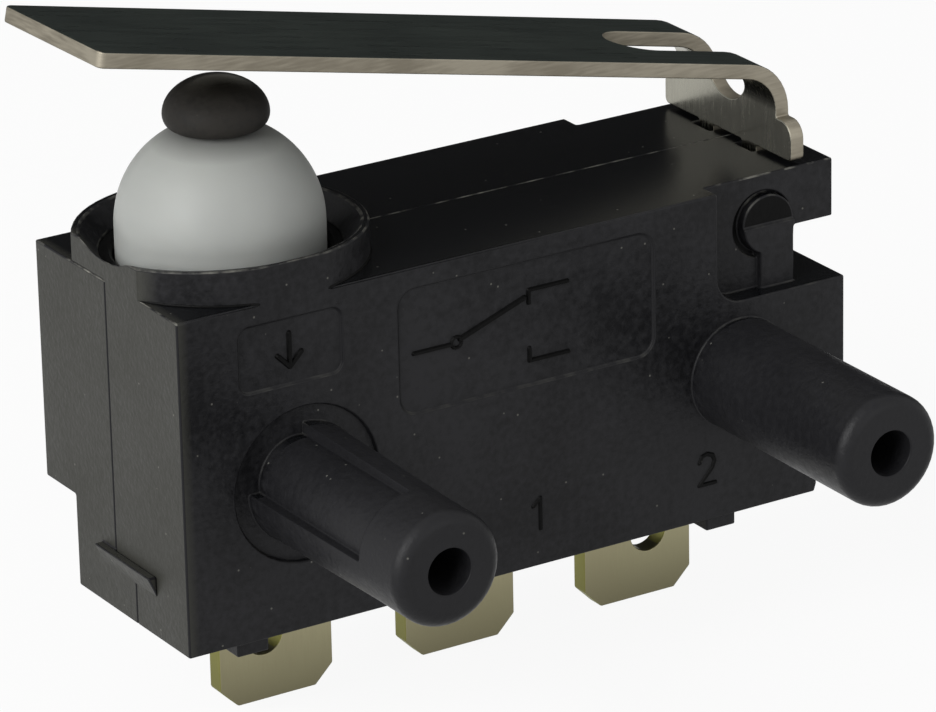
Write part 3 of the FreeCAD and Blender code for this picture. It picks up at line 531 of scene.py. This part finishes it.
# %% [markdown]
# ## Lever: painted dark arm, bare flange, pale edges
# The lever's edges are sheared, pale and rough. Which faces those are follows from the fold: on a
# rolled face the normal lies along the thickness of the sheet at that place, and on a sheared edge it lies
# across it. The thickness direction is constant on the arm and on the flange, and turns with the bend between
# them. Of the rolled faces, those that look up are drawn dark, a painted shade, and round the bend they turn
# bright.
# The tip isn't quite square, so the copy's front corner is drawn back by a fifth of a millimetre.

# %% Lever
lever_tilt = math.radians(12.1)
bend_x, bend_z = 12.88, 7.499
bend_centre = Vector((bend_x - origin_x, 0, bend_z - origin_z)) * MM
arm_up = Vector((math.sin(lever_tilt), 0, math.cos(lever_tilt)))
arm_back = Vector((math.cos(lever_tilt), 0, -math.sin(lever_tilt)))


def sheet_normal(point):
    """The direction of the sheet's thickness at a point: on the flange, on the arm, or on the bend."""
    from_bend = Vector((point.x, 0, point.z)) - bend_centre
    if from_bend.z < 0:
        return Vector((1, 0, 0))
    if from_bend.dot(arm_back) < 0:
        return arm_up
    return from_bend.normalized()


lever = rounded_copy("lever", sheared_round, "lever", "stainless_sheet")
tip_x = min(point.co.x for point in lever.data.vertices)
tip_length, lever_back, lever_width = 0.9 * MM, 4.3 * MM, 3.3 * MM
tip_draw_mm = 0.20
for point in lever.data.vertices:
    at_tip = max(0.0, 1 - (point.co.x - tip_x) / tip_length)
    at_front = max(0.0, (lever_back - point.co.y) / lever_width)
    point.co += arm_back * tip_draw_mm * MM * (at_tip * at_front)
lever.data.materials.append(lever_bare)
lever.data.materials.append(lever_edge)
bare_slot, sheared_slot = 1, 2
counts = [0, 0, 0]
for face in lever.data.polygons:
    if abs(face.normal.dot(sheet_normal(face.center))) < 0.9:
        face.material_index = sheared_slot
    elif face.normal.z < 0.10:
        face.material_index = bare_slot
    counts[face.material_index] += 1
print("lever faces, dark, bare and sheared:", counts)

# %% [markdown]
# ## Raised marks
# Moulds carry shallow engravings that stand up from the part as ribs a few hundredths of a millimetre high.
# Here they are plain ones: the circuit symbol of a changeover contact in the large field, an arrow for the
# way the button goes in the small one, and the numbers of the contacts over the blades. Each stroke is a
# round-ended rib with sloping sides, drawn in the plane of the front face. The ribs take the smoother, darker
# insert material; their darker colour is a painted shade for the shadow along their sides. Each is a hair lower
# than the one before, so that no two tops lie in one plane where they cross.

# %% Strokes
side_slope = 0.025
top_step = 0.0006


def add_stroke(shape, start, end, width, base_y, top_y):
    """One rib from start to end, each (x, z) in mm, with round ends and sides that slope to a narrower top."""
    first, last = Vector(start), Vector(end)
    along = (last - first).normalized() if (last - first).length > 1e-6 else Vector((1, 0))
    turn_to = math.atan2(along.y, along.x)
    rings = []
    for y, half in ((base_y, width / 2), (top_y, width / 2 - side_slope)):
        ring = []
        for centre, begin in ((last, -90), (first, 90)):
            for step in range(9):
                angle = turn_to + math.radians(begin + 180 * step / 8)
                spot = centre + Vector((math.cos(angle), math.sin(angle))) * half
                ring.append(shape.verts.new(Vector((spot.x - origin_x, y, spot.y - origin_z)) * MM))
        rings.append(ring)
    count = len(rings[0])
    for number in range(count):
        after = (number + 1) % count
        shape.faces.new((rings[0][number], rings[0][after], rings[1][after], rings[1][number]))
    shape.faces.new(rings[1])
    shape.faces.new(list(reversed(rings[0])))


def raised_marks(name, strokes, base_y, top_y):
    shape = bmesh.new()
    for number, (start, end, width) in enumerate(strokes):
        add_stroke(shape, start, end, width, base_y, top_y + top_step * number)
    bmesh.ops.recalc_face_normals(shape, faces=shape.faces)
    mesh = bpy.data.meshes.new(name)
    shape.to_mesh(mesh)
    shape.free()
    # Painted shade: the ribs are drawn darker than the face round them.
    mesh.materials.append(insert_and_shade_pbt)
    piece = bpy.data.objects.new(name, mesh)
    put_in_place(piece, "housing", "housing_plastic")
    print(name, "strokes:", len(strokes))


def ring_strokes(centre, radius, width, count=12):
    spots = [(centre[0] + radius * math.cos(2 * math.pi * k / count),
              centre[1] + radius * math.sin(2 * math.pi * k / count)) for k in range(count)]
    return [(spots[k], spots[(k + 1) % count], width) for k in range(count)]


# %% Changeover symbol
thin = 0.10
field_base, field_top = 0.055, 0.0
symbol = [((4.95, 4.85), (5.75, 4.85), thin), ((5.95, 4.92), (7.35, 5.42), 0.12),
          ((7.45, 5.30), (7.45, 5.55), thin), ((7.45, 5.55), (8.30, 5.55), thin),
          ((7.45, 4.40), (7.45, 4.15), thin), ((7.45, 4.15), (8.30, 4.15), thin)]
symbol += ring_strokes((5.87, 4.87), 0.11, 0.08)
raised_marks("changeover_symbol", symbol, field_base, field_top)

# %% Arrow
arrow = [((2.33, 5.85), (2.33, 5.20), 0.11), ((2.33, 5.20), (2.08, 5.45), 0.11),
         ((2.33, 5.20), (2.58, 5.45), 0.11)]
raised_marks("button_arrow", arrow, field_base, field_top)

# %% Contact numbers
def digit_one(x, z):
    return [((x, z), (x, z + 0.62), thin), ((x, z + 0.62), (x - 0.16, z + 0.48), thin)]


def digit_two(x, z):
    line = [(x - 0.17, z + 0.46), (x - 0.12, z + 0.58), (x, z + 0.62), (x + 0.13, z + 0.57),
            (x + 0.17, z + 0.45), (x + 0.12, z + 0.32), (x - 0.18, z), (x + 0.19, z)]
    return [(line[k], line[k + 1], thin) for k in range(len(line) - 1)]


def digit_four(x, z):
    return [((x + 0.08, z), (x + 0.08, z + 0.62), thin), ((x + 0.08, z + 0.62), (x - 0.20, z + 0.20), thin),
            ((x - 0.20, z + 0.20), (x + 0.20, z + 0.20), thin)]


numbers_z = 0.75
numbers = digit_four(5.20, numbers_z) + digit_one(7.60, numbers_z) + digit_two(11.36, numbers_z)
raised_marks("contact_numbers", numbers, 0.005, -0.035)

# %% [markdown]
# ## Turned pieces: dome and button
# The dome and the button are round, so each is drawn once as a half outline and turned about the plunger's
# axis. The solids have few facets, while these copies are fine enough to look round close up. The dome
# flattens as the button goes down, towards its foot in the cup.

# %% Outlines and turning
def turned_piece(name, outline, material, count=96):
    shape = bmesh.new()
    rings = []
    for radius, height in outline:
        if radius < 1e-9:
            rings.append([shape.verts.new((axis_x, axis_y, height * MM))] * count)
            continue
        ring = []
        for number in range(count):
            angle = 2 * math.pi * number / count
            ring.append(shape.verts.new((axis_x + radius * MM * math.cos(angle),
                                         axis_y + radius * MM * math.sin(angle), height * MM)))
        rings.append(ring)
    for first, second in zip(rings, rings[1:]):
        for number in range(count):
            after = (number + 1) % count
            corners = (first[number], first[after], second[after], second[number])
            shape.faces.new(list(dict.fromkeys(corners)))
    bmesh.ops.recalc_face_normals(shape, faces=shape.faces)
    mesh = bpy.data.meshes.new(name)
    shape.to_mesh(mesh)
    shape.free()
    mesh.polygons.foreach_set("use_smooth", [True] * len(mesh.polygons))
    mesh.set_sharp_from_angle(angle=math.radians(40))
    mesh.materials.append(material)
    return bpy.data.objects.new(name, mesh)


def arc(centre, radius, start, end, count):
    """Points of an arc in the plane of radius and height, with angles in degrees from straight outwards."""
    points = []
    for number in range(count + 1):
        angle = math.radians(start + (end - start) * number / count)
        points.append((centre[0] + radius * math.cos(angle), centre[1] + radius * math.sin(angle)))
    return points


# %% Dome
dome_radius = 1.95
dome_wall = 0.24
dome_z = 7.20 - origin_z
neck = 0.63
cup_z = cup_floor - origin_z
flange_z = cup_z + 0.25
outer_top = math.degrees(math.acos(neck / dome_radius))
inner_top = math.degrees(math.acos(neck / (dome_radius - dome_wall)))
dome_outline = (
    arc((0, dome_z), dome_radius, outer_top, 0, 24) + [(dome_radius, flange_z + 0.06)]
    + [(dome_radius + 0.02, flange_z + 0.02), (dome_radius + 0.06, flange_z), (2.22, flange_z), (2.22, cup_z)]
    + [(1.33, cup_z), (1.33, flange_z), (dome_radius - dome_wall, flange_z)]
    + arc((0, dome_z), dome_radius - dome_wall, 0, inner_top, 16)
)
dome_outline.append(dome_outline[0])
dome = turned_piece("silicone_dome", dome_outline, dome_silicone)
put_in_place(dome, "housing", "silicone", "dome_seal")
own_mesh(dome)
print("dome points:", len(dome.data.vertices))

# %% Button
cap_wide = 9.30 - origin_z
cap_top = 10.00 - origin_z
stem_radius, foot_z = 0.40, 4.615 - origin_z
crown = []
for number in range(17):
    angle = math.pi / 2 * number / 16
    crown.append((0.99 * math.sin(angle), cap_wide + (cap_top - cap_wide) * math.cos(angle)))
button_outline = crown + [
    (0.985, cap_wide - 0.05), (0.972, cap_wide - 0.10), (0.948, cap_wide - 0.15), (0.915, cap_wide - 0.19),
    (0.87, cap_wide - 0.22), (0.60, cap_wide - 0.22), (0.60, 8.50 - origin_z), (0.90, 8.50 - origin_z),
    (0.90, 8.30 - origin_z), (stem_radius, 8.30 - origin_z), (stem_radius, 4.915 - origin_z),
    (0.10, foot_z), (0.0, foot_z),
]
button = turned_piece("button", button_outline, button_pbt)
put_in_place(button, "plunger", "button_plastic", "plunger")
print("button points:", len(button.data.vertices))

# %% [markdown]
# ## Return spring
# The spring under the button is shorter when the button is down, and its solid can't change its length here.
# A copy of the solid with smooth shading stands for it.

# %% Spring
spring_mesh = nodes["return_spring"].data.copy()
spring_mesh.polygons.foreach_set("use_smooth", [True] * len(spring_mesh.polygons))
spring = bpy.data.objects.new("coil_spring", spring_mesh)
put_in_place(spring, "housing", "spring_wire", "return_spring")
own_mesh(spring)

# %% [markdown]
# ## Floor, world and lamps
# The part is held at its pegs, so the floor lies just under the blades. Floor and world show white to the
# camera and to mirrors, and the lamps light the part softly from the left.

# %% Floor
floor_gap = 0.3 * MM
floor_size = 3.0
floor_glow = 0.92
low, high = cad_box
floor_mesh = bpy.data.meshes.new("floor")
edge = floor_size / 2
floor_z = low[2] - floor_gap
corners = [(-edge, -edge, floor_z), (edge, -edge, floor_z), (edge, edge, floor_z), (-edge, edge, floor_z)]
floor_mesh.from_pydata(corners, [], [(0, 1, 2, 3)])
floor = bpy.data.objects.new("floor", floor_mesh)
bpy.context.scene.collection.objects.link(floor)


def white_when_seen(tree):
    """1 for rays that come from the camera, a mirror or glass, and 0 for the light that falls on the part."""
    rays = tree.nodes.new("ShaderNodeLightPath")
    seen = add(tree, "ShaderNodeMath", {0: rays.outputs["Is Camera Ray"], 1: rays.outputs["Is Glossy Ray"]},
               operation="MAXIMUM")
    return add(tree, "ShaderNodeMath", {0: seen.outputs[0], 1: rays.outputs["Is Transmission Ray"]},
               operation="MAXIMUM").outputs[0]


def paper_floor():
    material = bpy.data.materials.new("white paper floor")
    material.use_nodes = True
    tree = material.node_tree
    tree.nodes.clear()
    paper = add(tree, "ShaderNodeBsdfDiffuse", values={"Color": linear("#f4f4f4")})
    glow = add(tree, "ShaderNodeEmission", values={"Color": (1, 1, 1, 1), "Strength": 1.0})
    share = add(tree, "ShaderNodeMath", {0: white_when_seen(tree)}, {1: floor_glow}, operation="MULTIPLY")
    mix = add(tree, "ShaderNodeMixShader", {0: share.outputs[0], 1: paper.outputs[0], 2: glow.outputs[0]})
    output = tree.nodes.new("ShaderNodeOutputMaterial")
    tree.links.new(mix.outputs[0], output.inputs["Surface"])
    return material


floor_mesh.materials.append(paper_floor())
print("floor height in mm:", round(floor_z / MM, 2))

# %% World
world = bpy.data.worlds.new("studio")
bpy.context.scene.world = world
world.use_nodes = True
tree = world.node_tree
tree.nodes.clear()
ambient = 0.30
strength = add(tree, "ShaderNodeMapRange", {"Value": white_when_seen(tree)},
               {"To Min": ambient, "To Max": 1.0})
sky = add(tree, "ShaderNodeBackground", {"Strength": strength.outputs["Result"]}, {"Color": (1, 1, 1, 1)})
sky_output = tree.nodes.new("ShaderNodeOutputWorld")
tree.links.new(sky.outputs[0], sky_output.inputs["Surface"])

# %% [markdown]
# ## A black flag and two softboxes
# A product photographer keeps a dark top face dark with a black card, a flag, that stands behind the part
# just above the picture: the face mirrors the card in place of the white room. The card is a real plane that
# only mirror rays meet, so it neither shows nor throws a shadow.

# %% Black flag
part_middle = (Vector(low) + Vector(high)) / 2
flag_mesh = bpy.data.meshes.new("black flag")
flag_way = Vector((camera_sight.x, camera_sight.y, 0)).normalized()
flag_side = flag_way.cross(Vector((0, 0, 1)))
flag_distance = 60 * MM
flag_half, flag_low, flag_high = 75, -7, 80
corners = []
for across, up in ((-flag_half, flag_low), (flag_half, flag_low),
                   (flag_half, flag_high), (-flag_half, flag_high)):
    corners.append(part_middle + flag_way * flag_distance + flag_side * across * MM + Vector((0, 0, up * MM)))
flag_mesh.from_pydata(corners, [], [(0, 1, 2, 3)])
flag_card = bpy.data.materials.new("black flag card")
flag_card.use_nodes = True
flag_shader = flag_card.node_tree.nodes["Principled BSDF"]
flag_shader.inputs["Base Color"].default_value = linear("#101010")
flag_shader.inputs["Roughness"].default_value = 0.9
flag_mesh.materials.append(flag_card)
flag = bpy.data.objects.new("black flag", flag_mesh)
bpy.context.scene.collection.objects.link(flag)
flag.visible_camera = False
flag.visible_diffuse = False
flag.visible_shadow = False
flag.visible_transmission = False


# %% Softboxes
def softbox(name, direction, distance, size, watts):
    lamp_data = bpy.data.lights.new(name, "AREA")
    lamp_data.shape = "SQUARE"
    lamp_data.size = size
    lamp_data.energy = watts
    lamp = bpy.data.objects.new(name, lamp_data)
    bpy.context.scene.collection.objects.link(lamp)
    away = Vector(direction).normalized()
    lamp.location = part_middle + away * distance
    lamp.rotation_euler = away.to_track_quat("Z", "Y").to_euler()


softbox("left_softbox", (-1.0, -0.25, 0.55), 0.30, 0.20, 0.85)
softbox("front_fill", (0.25, -1.0, 0.35), 0.40, 0.30, 0.25)

# %% [markdown]
# ## Finish

# %% End
bpy.context.scene.view_settings.view_transform = "Standard"
